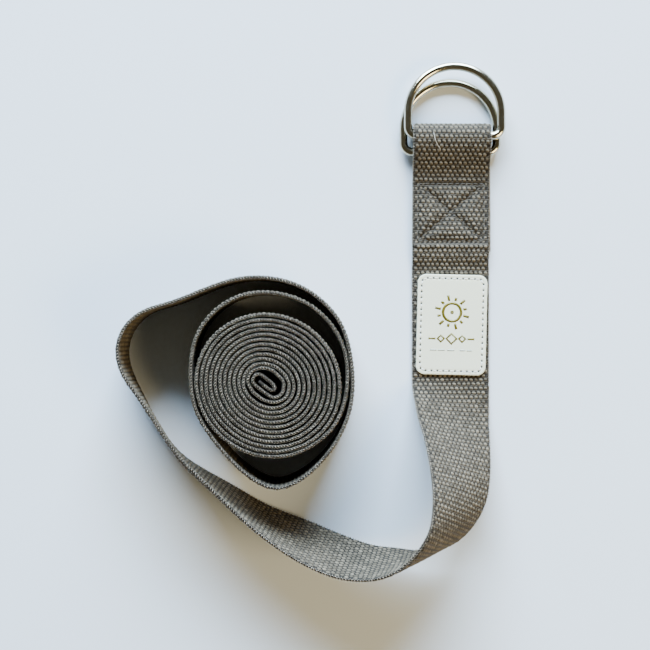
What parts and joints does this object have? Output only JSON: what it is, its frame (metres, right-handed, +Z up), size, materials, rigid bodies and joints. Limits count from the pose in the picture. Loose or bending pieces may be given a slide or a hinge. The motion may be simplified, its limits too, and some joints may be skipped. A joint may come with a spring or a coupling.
{
  "type": "stretching strap",
  "caption": "Long woven strap with a pair of D-rings in a sewn fold and a stitched label, laid out flat, looped round and wound into a roll standing on edge.",
  "frame": {"origin": "bottom centre of the whole laid-out strap's bounding box, on the table top", "axes": "+Z up from the table; +Y along the flat run towards the D-rings, the longest extent; +X to the right with the label facing up"},
  "size_m": [0.1856, 0.2478, 0.0482],
  "materials": {
    "webbing": "matte plain weave",
    "rings": "polished nickel plate",
    "label": "smooth white leatherette",
    "label_thread": "twisted thread",
    "box_thread": "twisted thread"
  },
  "bodies": {
    "webbing": {"webbing_fold": "webbing", "webbing_flat_run": "webbing", "webbing_turn": "webbing", "webbing_outer_loop": "webbing", "webbing_inner_loop": "webbing", "webbing_roll": "webbing", "label_patch": "label", "label_stitching": "label_thread", "box_stitching": "box_thread"},
    "upper_ring": {"d_ring_upper": "rings"},
    "lower_ring": {"d_ring_lower": "rings"}
  },
  "joints": [
    {"name": "upper_ring_swing", "type": "hinge", "parent": "webbing", "child": "upper_ring", "pos_m": [0.06824, 0.0879, 0.00802], "axis": [1, 0, 0], "range_deg": [0, 165]},
    {"name": "lower_ring_swing", "type": "hinge", "parent": "webbing", "child": "lower_ring", "pos_m": [0.06624, 0.0804, 0.00412], "axis": [1, 0, 0], "range_deg": [-150, 0]}
  ]
}
